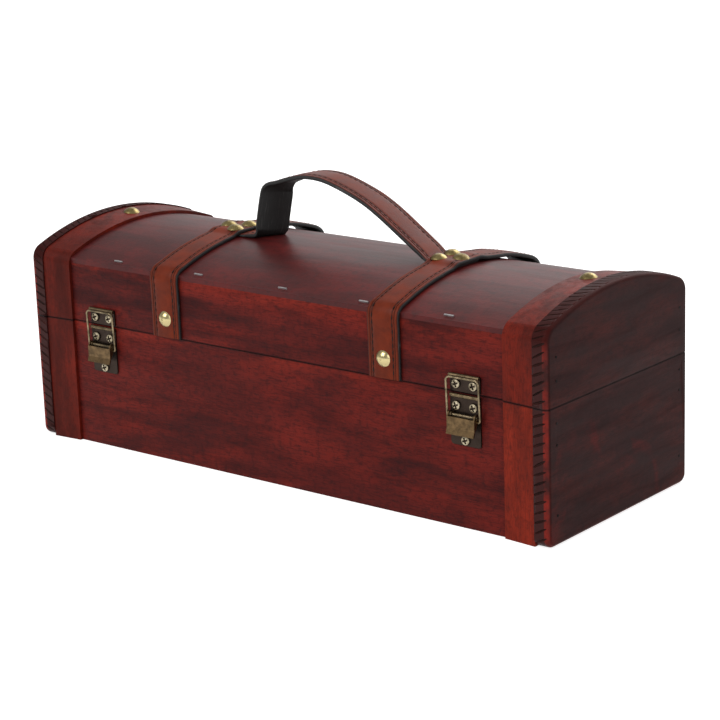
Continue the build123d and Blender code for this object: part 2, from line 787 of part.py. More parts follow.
def main():
    """Build every piece and write it under its own name."""
    os.makedirs("parts", exist_ok=True)
    save(base_bottom_panel(), "base_bottom_panel")
    save(dome_skin(), "lid_dome_skin")
    save(handle(), "handle")
    for side, name in ((-1, "front"), (1, "back")):
        save(base_wall(side), "base_" + name + "_wall")
        save(lid_wall(side), "lid_" + name + "_wall")
    for side, name in ((-1, "left"), (1, "right")):
        save(base_end_board(side), "base_" + name + "_end_board")
        save(lid_end_board(side), "lid_" + name + "_end_board")
        save(lid_trim(side), "lid_" + name + "_trim")
        save(base_trim(side, -1), "base_front_" + name + "_trim")
        save(base_trim(side, 1), "base_back_" + name + "_trim")
    save(end_brads(False), "base_end_brads")
    save(end_brads(True), "lid_end_brads")
    save(dome_staples(), "dome_staples")
    save(nails(strap_nail_planes(), strap_nail_grip), "strap_nails")
    save(nails(handle_nail_planes(), handle_nail_grip), "handle_nails")
    save(nails(trim_nail_planes(), trim_nail_grip), "trim_nails")
    for centre, name in zip(strap_centres, side_names):
        save(strap(centre), name + "_strap")
    for centre, name in zip(hinge_centres, side_names):
        save(hinge_leaf(centre, False), name + "_hinge_base_leaf")
        save(hinge_leaf(centre, True), name + "_hinge_lid_leaf")
        save(hinge_pin(centre), name + "_hinge_pin")
        save(screws(hinge_screw_places(centre, False), (0, 1, 0)), name + "_hinge_base_screws")
        save(screws(hinge_screw_places(centre, True), (0, 1, 0)), name + "_hinge_lid_screws")
    for centre, name in zip(latch_centres, side_names):
        save(catch_plate(centre), name + "_latch_catch_plate")
        save(screws(catch_screw_places(centre), (0, -1, 0)), name + "_latch_catch_screws")
        save(base_plate(centre), name + "_latch_base_plate")
        save(screws(base_screw_places(centre), (0, -1, 0)), name + "_latch_base_screws")
        save(pivot_pin(centre), name + "_latch_pivot_pin")
        save(lever(centre), name + "_latch_lever")
        save(bail(centre), name + "_latch_bail")


main()
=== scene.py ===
"""A long wooden case with a domed lid, leather straps and a leather handle.

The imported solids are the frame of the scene. This script gives them their stained
wood, leather and brass, and makes the pieces that need a finer shape: the two
straps, the handle, their stitching and the end boards with a carved rope edge.
All sizes are in metres. X runs along the case, Y from the front to the back, Z up.
"""

import logging
import math
from dataclasses import dataclass
from enum import Enum
from itertools import product
from random import Random
from typing import ClassVar, Optional, Sequence, Union

import bmesh
import bpy
from mathutils import Matrix, Vector

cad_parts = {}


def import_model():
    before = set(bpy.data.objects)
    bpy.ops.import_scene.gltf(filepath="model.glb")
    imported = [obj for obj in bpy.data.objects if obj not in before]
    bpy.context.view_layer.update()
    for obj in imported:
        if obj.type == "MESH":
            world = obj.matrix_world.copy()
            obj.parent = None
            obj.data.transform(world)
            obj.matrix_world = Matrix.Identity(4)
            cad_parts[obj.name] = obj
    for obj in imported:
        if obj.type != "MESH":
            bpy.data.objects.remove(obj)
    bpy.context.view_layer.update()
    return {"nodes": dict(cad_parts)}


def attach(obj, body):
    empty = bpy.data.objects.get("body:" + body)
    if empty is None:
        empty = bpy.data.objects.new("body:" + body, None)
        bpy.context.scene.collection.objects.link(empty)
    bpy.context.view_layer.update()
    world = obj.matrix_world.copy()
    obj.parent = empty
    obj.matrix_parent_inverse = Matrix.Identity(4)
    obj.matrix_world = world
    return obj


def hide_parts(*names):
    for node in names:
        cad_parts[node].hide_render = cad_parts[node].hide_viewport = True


log = logging.getLogger("wooden_case")

MM = 0.001
STRAP_WIDTH = 20 * MM
STRAP_CENTRE = 76 * MM
HANDLE_WIDTH = 19.5 * MM
LEATHER_THICKNESS = 2.2 * MM
CREASE_INSET = 2.2 * MM
STITCH_INSET = 3.5 * MM
SEAM_HEIGHT = 71.15 * MM

Colour = tuple[float, float, float]
Socket = bpy.types.NodeSocket
Value = Union[float, Socket]


class Grain(Enum):
    """Direction in which the fibres of a board run."""

    ALONG_X = (1.0, 9.0, 9.0)
    ALONG_Y = (9.0, 1.0, 9.0)
    ALONG_Z = (9.0, 9.0, 1.0)


class Side(Enum):
    """End of the case, seen from the front."""

    LEFT = -1
    RIGHT = 1

    @property
    def word(self) -> str:
        """Name of the side as the nodes spell it."""
        return self.name.lower()


class Tier(Enum):
    """Upper or lower half of the case."""

    BASE = "base"
    LID = "lid"


@dataclass(frozen=True)
class Layer:
    """Settings of one layer of noise: clouds per unit, finer layers, their weight, and warp."""

    scale: float
    detail: float = 3.0
    roughness: float = 0.5
    distortion: float = 0.0


class NodeBench:
    """Node tree of one material, built with short calls."""

    def __init__(self, name: str) -> None:
        """Starts a material with an empty surface shader.

        Args:
            name: Name of the material.
        """
        self.material = bpy.data.materials.new(name)
        self.material.use_nodes = True
        self.tree = self.material.node_tree
        self.shader = self.tree.nodes["Principled BSDF"]

    def node(self, kind: str) -> bpy.types.Node:
        """Adds one node of a kind."""
        return self.tree.nodes.new(kind)

    def feed(self, socket: Socket, value: Union[Value, Colour, Vector]) -> None:
        """Links a socket to another, or sets its value.

        Args:
            socket: Input that receives.
            value: Output to link, or a plain value.
        """
        if isinstance(value, bpy.types.NodeSocket):
            self.tree.links.new(value, socket)
        elif isinstance(value, (tuple, list)) and len(socket.default_value) == 4:
            socket.default_value = (*value[:3], 1.0)
        else:
            socket.default_value = value

    def place(self) -> Socket:
        """Position on the object, in metres."""
        return self.node("ShaderNodeTexCoord").outputs["Object"]

    def uv(self) -> Socket:
        """Place on a leather band: across it and along it, in metres."""
        return self.node("ShaderNodeTexCoord").outputs["UV"]

    def scaled(self, source: Socket, scale: Sequence[float],
               shift: Sequence[float] = (0, 0, 0)) -> Socket:
        """Stretches a position.

        Args:
            source: Position to stretch.
            scale: Factor on each axis.
            shift: Offset that is added after the factors.

        Returns:
            The stretched position.
        """
        mapping = self.node("ShaderNodeMapping")
        self.feed(mapping.inputs["Vector"], source)
        mapping.inputs["Scale"].default_value = tuple(scale)
        mapping.inputs["Location"].default_value = tuple(shift)
        return mapping.outputs["Vector"]

    def split(self, source: Socket) -> tuple[Socket, Socket, Socket]:
        """X, Y and Z of a position."""
        node = self.node("ShaderNodeSeparateXYZ")
        self.feed(node.inputs[0], source)
        return node.outputs[0], node.outputs[1], node.outputs[2]

    def noise(self, source: Socket, layer: Layer) -> Socket:
        """Cloudy pattern between 0 and 1.

        Args:
            source: Position that the pattern follows.
            layer: Settings of the pattern.

        Returns:
            The pattern's value.
        """
        node = self.node("ShaderNodeTexNoise")
        self.feed(node.inputs["Vector"], source)
        node.inputs["Scale"].default_value = layer.scale
        node.inputs["Detail"].default_value = layer.detail
        node.inputs["Roughness"].default_value = layer.roughness
        node.inputs["Distortion"].default_value = layer.distortion
        return node.outputs["Fac"]

    def cells(self, source: Socket, scale: float) -> Socket:
        """Distance to the nearest of scattered points, for pebbled leather."""
        node = self.node("ShaderNodeTexVoronoi")
        self.feed(node.inputs["Vector"], source)
        node.inputs["Scale"].default_value = scale
        return node.outputs["Distance"]

    def spread(self, value: Socket, low: float, high: float, start: float = 0.0,
               end: float = 1.0) -> Socket:
        """Maps a value between low and high smoothly to start and end, and holds it outside.

        Args:
            value: Value to map.
            low: Value that gives start.
            high: Value that gives end.
            start: First result.
            end: Last result.

        Returns:
            The mapped value.
        """
        node = self.node("ShaderNodeMapRange")
        node.interpolation_type = "SMOOTHSTEP"
        self.feed(node.inputs["Value"], value)
        for name, number in (("From Min", low), ("From Max", high), ("To Min", start), ("To Max", end)):
            node.inputs[name].default_value = number
        return node.outputs["Result"]

    def calc(self, operation: str, first: Value, second: Value = 0.0) -> Socket:
        """One step of arithmetic, such as ADD, MULTIPLY or ABSOLUTE."""
        node = self.node("ShaderNodeMath")
        node.operation = operation
        self.feed(node.inputs[0], first)
        self.feed(node.inputs[1], second)
        return node.outputs[0]

    def blend(self, share: Value, first: Union[Socket, Colour],
              second: Union[Socket, Colour]) -> Socket:
        """Mixes two colours.

        The mix node keeps its colours in inputs 6 and 7 and gives them in output 2, after
        the sockets of its other types.

        Args:
            share: How much of the second colour there is.
            first: Colour at a share of 0.
            second: Colour at a share of 1.

        Returns:
            The mixed colour.
        """
        node = self.node("ShaderNodeMix")
        node.data_type = "RGBA"
        self.feed(node.inputs[0], share)
        self.feed(node.inputs[6], first)
        self.feed(node.inputs[7], second)
        return node.outputs[2]

    def paint_seam_shade(self, colour: Socket) -> Socket:
        """Paints shade into a colour along the gap between the lid and the base.

        Args:
            colour: Colour to darken.

        Returns:
            The darkened colour.
        """
        away = self.calc("ABSOLUTE", self.calc("SUBTRACT", self.split(self.place())[2], SEAM_HEIGHT))
        # The near-black colour is painted shade in the gap between the lid and the base.
        return self.blend(self.spread(away, 0.3 * MM, 0.9 * MM, 0.75, 0.0), colour, (0.008, 0.003, 0.003))

    def relief(self, height: Socket, depth: float, strength: float = 1.0) -> None:
        """Gives the shader a relief.

        Args:
            height: Height between 0 and 1.
            depth: Height of 1, in metres.
            strength: Share of the effect.
        """
        node = self.node("ShaderNodeBump")
        self.feed(node.inputs["Height"], height)
        node.inputs["Distance"].default_value = depth
        node.inputs["Strength"].default_value = strength
        self.tree.links.new(node.outputs["Normal"], self.shader.inputs["Normal"])

    def finish(self, colour: Union[Socket, Colour], roughness: Value, **fixed: float) -> bpy.types.Material:
        """Connects the colour and roughness and sets the plain sockets.

        Args:
            colour: Base colour.
            roughness: Roughness.
            fixed: Plain socket values, with spaces written as underscores.

        Returns:
            The finished material.
        """
        self.feed(self.shader.inputs["Base Color"], colour)
        self.feed(self.shader.inputs["Roughness"], roughness)
        for name, number in fixed.items():
            label = name.replace("_", " ").title().replace("Ior", "IOR")
            self.shader.inputs[label].default_value = number
        return self.material


@dataclass(frozen=True)
class StainedWood:
    """Wood with a streaked, hand-rubbed stain under a satin varnish."""

    name: str
    light: Colour
    mid: Colour
    dark: Colour
    grain: Grain = Grain.ALONG_X
    blotch: float = 0.5
    roughness: float = 0.42
    shine: float = 0.08
    seed: float = 0.0
    brushed: float = 1.0
    rub: Optional[Colour] = None
    rub_heights: tuple[float, float] = (92 * MM, 106 * MM)
    patch: Optional[Colour] = None

    STREAK: ClassVar[Layer] = Layer(16.0, 6.0, 0.62, 0.6)
    SMUDGE: ClassVar[Layer] = Layer(5.5, 3.0, 0.55, 1.2)
    PORES: ClassVar[Layer] = Layer(3.2, 3.0, 0.7)
    CLOUD: ClassVar[Layer] = Layer(24.0, 4.0, 0.6)
    FLECK: ClassVar[Layer] = Layer(190.0, 4.0, 0.6, 0.3)
    MOTTLE: ClassVar[Layer] = Layer(300.0, 4.0, 0.65)
    RAG: ClassVar[Layer] = Layer(42.0, 3.0, 0.6)
    RING: ClassVar[Layer] = Layer(17.0, 2.0, 0.5, 1.6)
    HIDE: ClassVar[Layer] = Layer(620.0, 4.0, 0.65)

    def pattern(self, bench: NodeBench) -> tuple[Socket, Socket, Socket]:
        """Colour, streaks and pores of the wood.

        Args:
            bench: Node tree that receives the pattern.

        Returns:
            The colour, the streak value and the pore value.
        """
        place = bench.place()
        fibre = bench.scaled(place, self.grain.value, (self.seed, self.seed * 1.7, self.seed * 0.6))
        streak = bench.noise(fibre, self.STREAK)
        smudge = bench.noise(fibre, self.SMUDGE)
        pores = bench.noise(bench.scaled(place, [f * 60 for f in self.grain.value]), self.PORES)
        short = bench.scaled(place, [f ** 0.4 for f in self.grain.value], (self.seed * 3, 0, self.seed))
        cloud = bench.noise(short, self.CLOUD)
        fleck = bench.noise(fibre, self.FLECK)
        mottle = bench.noise(place, self.MOTTLE)
        rag = bench.noise(bench.scaled(place, (5.0, 1.0, 1.0), (self.seed, 0, 0)), self.RAG)
        tone = bench.blend(bench.spread(cloud, 0.38, 0.66), self.mid, self.light)
        if self.rub:
            rise = bench.spread(bench.split(place)[2], *self.rub_heights)
            rubbed = bench.calc("MULTIPLY", rise, bench.spread(cloud, 0.36, 0.58))
            tone = bench.blend(rubbed, tone, self.rub)
        if self.patch:
            ring = bench.noise(place, self.RING)
            tone = bench.blend(bench.spread(ring, 0.60, 0.74, 0.0, 0.65), tone, self.patch)
        shades = [(smudge, 0.46, 0.72, self.blotch), (streak, 0.45, 0.75, 0.4 * self.brushed),
                  (fleck, 0.46, 0.68, 0.48 * self.brushed), (mottle, 0.47, 0.68, 0.4),
                  (rag, 0.52, 0.72, 0.14), (pores, 0.56, 0.74, 0.3)]
        for value, low, high, most in shades:
            tone = bench.blend(bench.spread(value, low, high, 0.0, most), tone, self.dark)
        return tone, streak, pores

    def material(self) -> bpy.types.Material:
        """Builds the material."""
        bench = NodeBench(self.name)
        colour, streak, pores = self.pattern(bench)
        # Painted shade along the gap between the lid and the base.
        colour = bench.paint_seam_shade(colour)
        brushed = bench.calc("MULTIPLY", streak, 0.6 * self.brushed)
        coarse = bench.calc("ADD", brushed, bench.calc("MULTIPLY", pores, 0.4))
        hide = bench.noise(bench.place(), self.HIDE)
        bench.relief(bench.calc("ADD", coarse, bench.calc("MULTIPLY", hide, 0.5)), 0.25 * MM, 0.4)
        gloss = bench.spread(streak, 0.3, 0.8, self.roughness - 0.05 * self.brushed,
                             self.roughness + 0.12 * self.brushed)
        return bench.finish(colour, gloss, specular_ior_level=self.shine)


@dataclass(frozen=True)
class EndBoardWood:
    """Dark stained end board whose rounded arris is rubbed red."""

    name: str
    face: StainedWood
    arris: Colour = (0.235, 0.0140, 0.0070)
    rope: Colour = (0.036, 0.0060, 0.0050)
    arris_start: float = 174.8 * MM
    arris_end: float = 177.2 * MM
    red_top: tuple[float, float] = (98 * MM, 106 * MM)
    varnish_top: tuple[float, float] = (98 * MM, 108 * MM)
    varnish: float = 0.18

    def material(self) -> bpy.types.Material:
        """Builds the material."""
        bench = NodeBench(self.name)
        colour, streak, pores = self.face.pattern(bench)
        x, _, z = bench.split(bench.place())
        out = bench.calc("ABSOLUTE", x)
        cloud = bench.noise(bench.place(), Layer(55.0, 4.0, 0.65))
        red = bench.blend(bench.spread(cloud, 0.35, 0.7), self.arris, self.rope)
        red = bench.blend(bench.spread(z, *self.red_top, 0.0, 0.95), red, self.rope)
        rim = bench.blend(bench.spread(out, self.arris_start - 0.7 * MM, self.arris_start), self.rope, red)
        worn = bench.spread(out, self.arris_end - 0.5 * MM, self.arris_end + 0.25 * MM)
        # Painted shade along the gap between the lid and the base.
        colour = bench.paint_seam_shade(bench.blend(worn, rim, colour))
        bench.relief(bench.calc("ADD", streak, pores), 0.15 * MM, 0.35)
        gloss = bench.spread(streak, 0.3, 0.8, self.face.roughness - 0.05, self.face.roughness + 0.1)
        front = bench.spread(z, *self.varnish_top, self.varnish, 0.0)
        varnish = bench.calc("MULTIPLY", front, bench.spread(worn, 0.0, 1.0, 1.0, 0.0))
        bench.feed(bench.shader.inputs["Coat Weight"], varnish)
        return bench.finish(colour, gloss, coat_roughness=0.16, specular_ior_level=self.face.shine)


@dataclass(frozen=True)
class Leather:
    """Smooth leather that is darker at its edges, in its creases, along its stitch rows and on its wrinkles.
    """

    name: str
    light: Colour
    dark: Colour
    half_width: float
    roughness: float = 0.45
    shine: float = 0.06
    black: Colour = (0.018, 0.005, 0.003)

    def material(self) -> bpy.types.Material:
        """Builds the material."""
        bench = NodeBench(self.name)
        across = bench.calc("ABSOLUTE", bench.split(bench.uv())[0])
        cloud = bench.noise(bench.uv(), Layer(90.0, 5.0, 0.6, 0.4))
        pebble = bench.cells(bench.uv(), 1500.0)
        wrinkle = bench.noise(bench.scaled(bench.uv(), (1, 2.5, 1)), Layer(420.0, 4.0, 0.65))
        colour = bench.blend(bench.spread(cloud, 0.3, 0.7), self.dark, self.light)
        edge = bench.spread(across, self.half_width - 1.2 * MM, self.half_width - 0.15 * MM, 0.0, 0.8)
        colour = bench.blend(edge, colour, (0.02, 0.006, 0.004))
        crease = bench.calc("ABSOLUTE", bench.calc("SUBTRACT", across, self.half_width - CREASE_INSET))
        colour = bench.blend(bench.spread(crease, 0.1 * MM, 0.45 * MM, 0.7, 0.0), colour, self.black)
        row = bench.calc("ABSOLUTE", bench.calc("SUBTRACT", across, self.half_width - STITCH_INSET))
        colour = bench.blend(bench.spread(row, 0.25 * MM, 0.75 * MM, 0.6, 0.0), colour, self.black)
        colour = bench.blend(bench.spread(wrinkle, 0.55, 0.78, 0.0, 0.4), colour, self.dark)
        height = bench.calc("ADD", bench.calc("MULTIPLY", pebble, 0.4), wrinkle)
        bench.relief(height, 0.12 * MM, 0.4)
        gloss = bench.spread(cloud, 0.3, 0.8, self.roughness - 0.06, self.roughness + 0.08)
        return bench.finish(colour, gloss, specular_ior_level=self.shine)


@dataclass(frozen=True)
class RawLeather:
    """Black underside and cut edge of a leather band, with fibres along it."""

    name: str

    def material(self) -> bpy.types.Material:
        """Builds the material."""
        bench = NodeBench(self.name)
        fibre = bench.noise(bench.scaled(bench.uv(), (1500, 90, 1)), Layer(1.0, 4.0, 0.7))
        colour = bench.blend(bench.spread(fibre, 0.52, 0.8), (0.014, 0.014, 0.014), (0.065, 0.062, 0.060))
        bench.relief(fibre, 0.2 * MM, 0.5)
        return bench.finish(colour, 0.62, specular_ior_level=0.4)


@dataclass(frozen=True)
class AgedMetal:
    """Metal with a darker patina in patches, and nearly black where it lies close to the wall.

    The darkening fades out between the two distances from the wall, on the front and on the back.
    """

    name: str
    bright: Colour
    patina: Colour
    wear: float = 0.5
    roughness: float = 0.3
    near_wall_dark_reach: Optional[tuple[float, float]] = None
    near_wall_dark: Colour = (0.040, 0.028, 0.022)
    wall: float = 60 * MM

    def material(self) -> bpy.types.Material:
        """Builds the material."""
        bench = NodeBench(self.name)
        cloud = bench.noise(bench.place(), Layer(260.0, 5.0, 0.65))
        fine = bench.noise(bench.place(), Layer(900.0, 3.0, 0.6))
        shade = bench.spread(cloud, self.wear - 0.14, self.wear + 0.16)
        colour = bench.blend(shade, self.bright, self.patina)
        if self.near_wall_dark_reach:
            # Darker towards the wall, nearly black closest to it.
            out = bench.calc("SUBTRACT", bench.calc("ABSOLUTE", bench.split(bench.place())[1]), self.wall)
            colour = bench.blend(bench.spread(out, *self.near_wall_dark_reach), self.near_wall_dark, colour)
        bench.relief(bench.calc("ADD", cloud, fine), 0.06 * MM, 0.3)
        gloss = bench.spread(cloud, 0.3, 0.75, self.roughness, self.roughness + 0.2)
        return bench.finish(colour, gloss, metallic=1.0)


@dataclass(frozen=True)
class Thread:
    """Dark waxed thread."""

    name: str
    colour: Colour = (0.012, 0.007, 0.006)

    def material(self) -> bpy.types.Material:
        """Builds the material."""
        bench = NodeBench(self.name)
        twist = bench.noise(bench.place(), Layer(2500.0, 2.0))
        colour = bench.blend(twist, self.colour, tuple(2.2 * c for c in self.colour))
        return bench.finish(colour, 0.6, specular_ior_level=0.1)


@dataclass(frozen=True)
class StudioFloor:
    """Pale floor that stays nearly white for the camera and keeps a soft shadow."""

    name: str = "studio_floor"
    tone: float = 0.62
    lift: float = 0.74

    def material(self) -> bpy.types.Material:
        """Builds the material."""
        bench = NodeBench(self.name)
        cloud = bench.noise(bench.place(), Layer(1.5, 2.0))
        tone = bench.blend(cloud, (self.tone,) * 3, (self.tone * 0.99,) * 3)
        bench.finish(tone, 0.9, specular_ior_level=0.1)
        path = bench.node("ShaderNodeLightPath")
        seen = path.outputs["Is Camera Ray"]
        for ray in ("Is Glossy Ray", "Is Transmission Ray"):
            seen = bench.calc("MAXIMUM", seen, path.outputs[ray])
        glow = bench.node("ShaderNodeEmission")
        bench.feed(glow.inputs["Strength"], bench.calc("MULTIPLY", seen, self.lift))
        both = bench.node("ShaderNodeAddShader")
        bench.feed(both.inputs[0], bench.shader.outputs[0])
        bench.feed(both.inputs[1], glow.outputs[0])
        bench.feed(bench.tree.nodes["Material Output"].inputs["Surface"], both.outputs[0])
        return bench.material


@dataclass
class Finishes:
    """All finishes of the case, each built once."""

    def __post_init__(self) -> None:
        """Builds the materials."""
        red, deep, black = (0.175, 0.0165, 0.0115), (0.100, 0.0110, 0.0090), (0.013, 0.0042, 0.0052)
        rubbed = (0.245, 0.0220, 0.0125)
        self.wall = StainedWood("wall_wood", red, deep, black, blotch=0.55, seed=0.13, rub=rubbed,
                                rub_heights=(60 * MM, 74 * MM)).material()
        self.lid_wall = StainedWood("lid_wall_wood", red, deep, black, blotch=0.6, seed=0.52,
                                    rub=rubbed).material()
        self.dome = StainedWood("dome_wood", (0.118, 0.0095, 0.0085), (0.066, 0.008, 0.008),
                                (0.018, 0.006, 0.006), blotch=0.28, shine=0.215, brushed=0.3,
                                patch=(0.13, 0.011, 0.009)).material()
        self.trim = StainedWood("trim_wood", (0.20, 0.017, 0.008), (0.115, 0.012, 0.007),
                                (0.040, 0.006, 0.004), grain=Grain.ALONG_Z, blotch=0.6,
                                seed=0.7).material()
        # Lighter copy of the trim wood for the right base trims: painted light where more light falls on
        # them.
        self.painted_light_trim = StainedWood("bright_trim_wood", (0.27, 0.024, 0.010), (0.16, 0.016, 0.008),
                                       (0.045, 0.007, 0.005), grain=Grain.ALONG_Z, seed=0.45).material()
        end_face = StainedWood("end_face_wood", (0.058, 0.0110, 0.0090), (0.031, 0.0092, 0.0088),
                               (0.018, 0.0066, 0.0066), grain=Grain.ALONG_Y, blotch=0.6, roughness=0.5,
                               shine=0.05, patch=(0.110, 0.0095, 0.0080))
        self.end_board = EndBoardWood("end_board_wood", end_face).material()
        self.groove = StainedWood("groove_wood", (0.050, 0.012, 0.009), (0.024, 0.008, 0.006),
                                  (0.010, 0.005, 0.005), blotch=0.6, roughness=0.5).material()
        self.bottom = StainedWood("bottom_wood", (0.20, 0.08, 0.04), (0.15, 0.055, 0.03),
                                  (0.07, 0.03, 0.02), blotch=0.3, roughness=0.6).material()
        self.strap = Leather("strap_leather", (0.185, 0.026, 0.0085), (0.105, 0.016, 0.006),
                             STRAP_WIDTH / 2, shine=0.11).material()
        self.handle = Leather("handle_leather", (0.180, 0.036, 0.020), (0.110, 0.022, 0.014),
                              HANDLE_WIDTH / 2, shine=0.12).material()
        self.raw = RawLeather("leather_edge").material()
        self.thread = Thread("stitch_thread").material()
        self.nail = AgedMetal("nail_brass", (0.56, 0.47, 0.24), (0.30, 0.24, 0.11),
                              wear=0.60, roughness=0.16).material()
        # Darker copy of the nail brass for the nails on the dome: painted shade, so that the top-facing
        # nails show less light.
        self.painted_shade_dome_nail = AgedMetal("dome_nail_brass", (0.34, 0.26, 0.11), (0.15, 0.11, 0.045),
                                   wear=0.52, roughness=0.24).material()
        self.screw = AgedMetal("screw_brass", (0.50, 0.43, 0.30), (0.22, 0.18, 0.11), wear=0.55,
                               near_wall_dark_reach=(1.5 * MM, 1.8 * MM)).material()
        self.plate = AgedMetal("latch_plate_brass", (0.20, 0.145, 0.082), (0.09, 0.065, 0.037),
                               roughness=0.36, near_wall_dark_reach=(0.95 * MM, 1.5 * MM)).material()
        self.lever = AgedMetal("latch_lever_brass", (0.170, 0.108, 0.052), (0.088, 0.057, 0.029),
                               roughness=0.34).material()
        self.wire = AgedMetal("latch_wire_brass", (0.31, 0.24, 0.145), (0.11, 0.085, 0.05)).material()
        self.hinge = AgedMetal("hinge_brass", (0.36, 0.29, 0.16), (0.13, 0.10, 0.055),
                               roughness=0.34).material()
        self.brad = AgedMetal("brad_steel", (0.020, 0.014, 0.013), (0.010, 0.008, 0.008),
                              roughness=0.6).material()
        self.staple = AgedMetal("staple_steel", (0.55, 0.54, 0.54), (0.30, 0.29, 0.29), wear=0.6,
                                roughness=0.35).material()


def dress(node: bpy.types.Object, material: bpy.types.Material) -> None:
    """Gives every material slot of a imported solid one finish.

    Args:
        node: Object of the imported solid.
        material: Finish to assign.
    """
    if not node.material_slots:
        node.data.materials.append(material)
    for slot in node.material_slots:
        slot.material = material


def settle(shape: bmesh.types.BMesh, name: str, materials: Sequence[bpy.types.Material], body: str,
           smooth_angle: float = 35.0) -> bpy.types.Object:
    """Turns a finished bmesh into an object that moves with a body.

    Args:
        shape: Mesh with its place in its vertices. It is freed.
        name: Name of the object.
        materials: Finishes, in the order of the faces' material numbers.
        body: Body that carries the piece.
        smooth_angle: Edges that turn more than this stay sharp, in degrees.

    Returns:
        The new object.
    """
    mesh = bpy.data.meshes.new(name)
    shape.to_mesh(mesh)
    shape.free()
    mesh.polygons.foreach_set("use_smooth", [True] * len(mesh.polygons))
    mesh.set_sharp_from_angle(angle=math.radians(smooth_angle))
    for material in materials:
        mesh.materials.append(material)
    piece = bpy.data.objects.new(name, mesh)
    bpy.context.scene.collection.objects.link(piece)
    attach(piece, body)
    log.info("%s: %d faces, rides on %s", name, len(mesh.polygons), body)
    return piece


@dataclass(frozen=True)
class Station:
    """One place on a leather band: where it lies and which way it faces."""

    place: Vector
    along: Vector
    across: Vector
    travel: float
    share: float = 1.0

    def frame(self) -> Matrix:
        """Matrix from the band's own directions, across, out and along, to the case's."""
        out = self.along.cross(self.across).normalized()
        across = out.cross(self.along).normalized()
        turn = Matrix((across, out * self.share, self.along)).transposed().to_4x4()
        return Matrix.Translation(self.place) @ turn


def smooth_route(points: Sequence[Vector], step: float) -> list[Vector]:
    """Runs a smooth line through points.

    Args:
        points: Points that the line passes.
        step: Distance between the places that are returned.

    Returns:
        Places along the line.
    """
    route = []
    padded = [2 * points[0] - points[1], *points, 2 * points[-1] - points[-2]]
    for a, b, c, d in zip(padded, padded[1:], padded[2:], padded[3:]):
        count = max(1, round((c - b).to_3d().length / step))
        for i in range(count):
            t = i / count
            route.append(0.5 * (2 * b + (c - a) * t + (2 * a - 5 * b + 4 * c - d) * t ** 2
                                + (3 * b - a - 3 * c + d) * t ** 3))
    return [*route, points[-1].copy()]


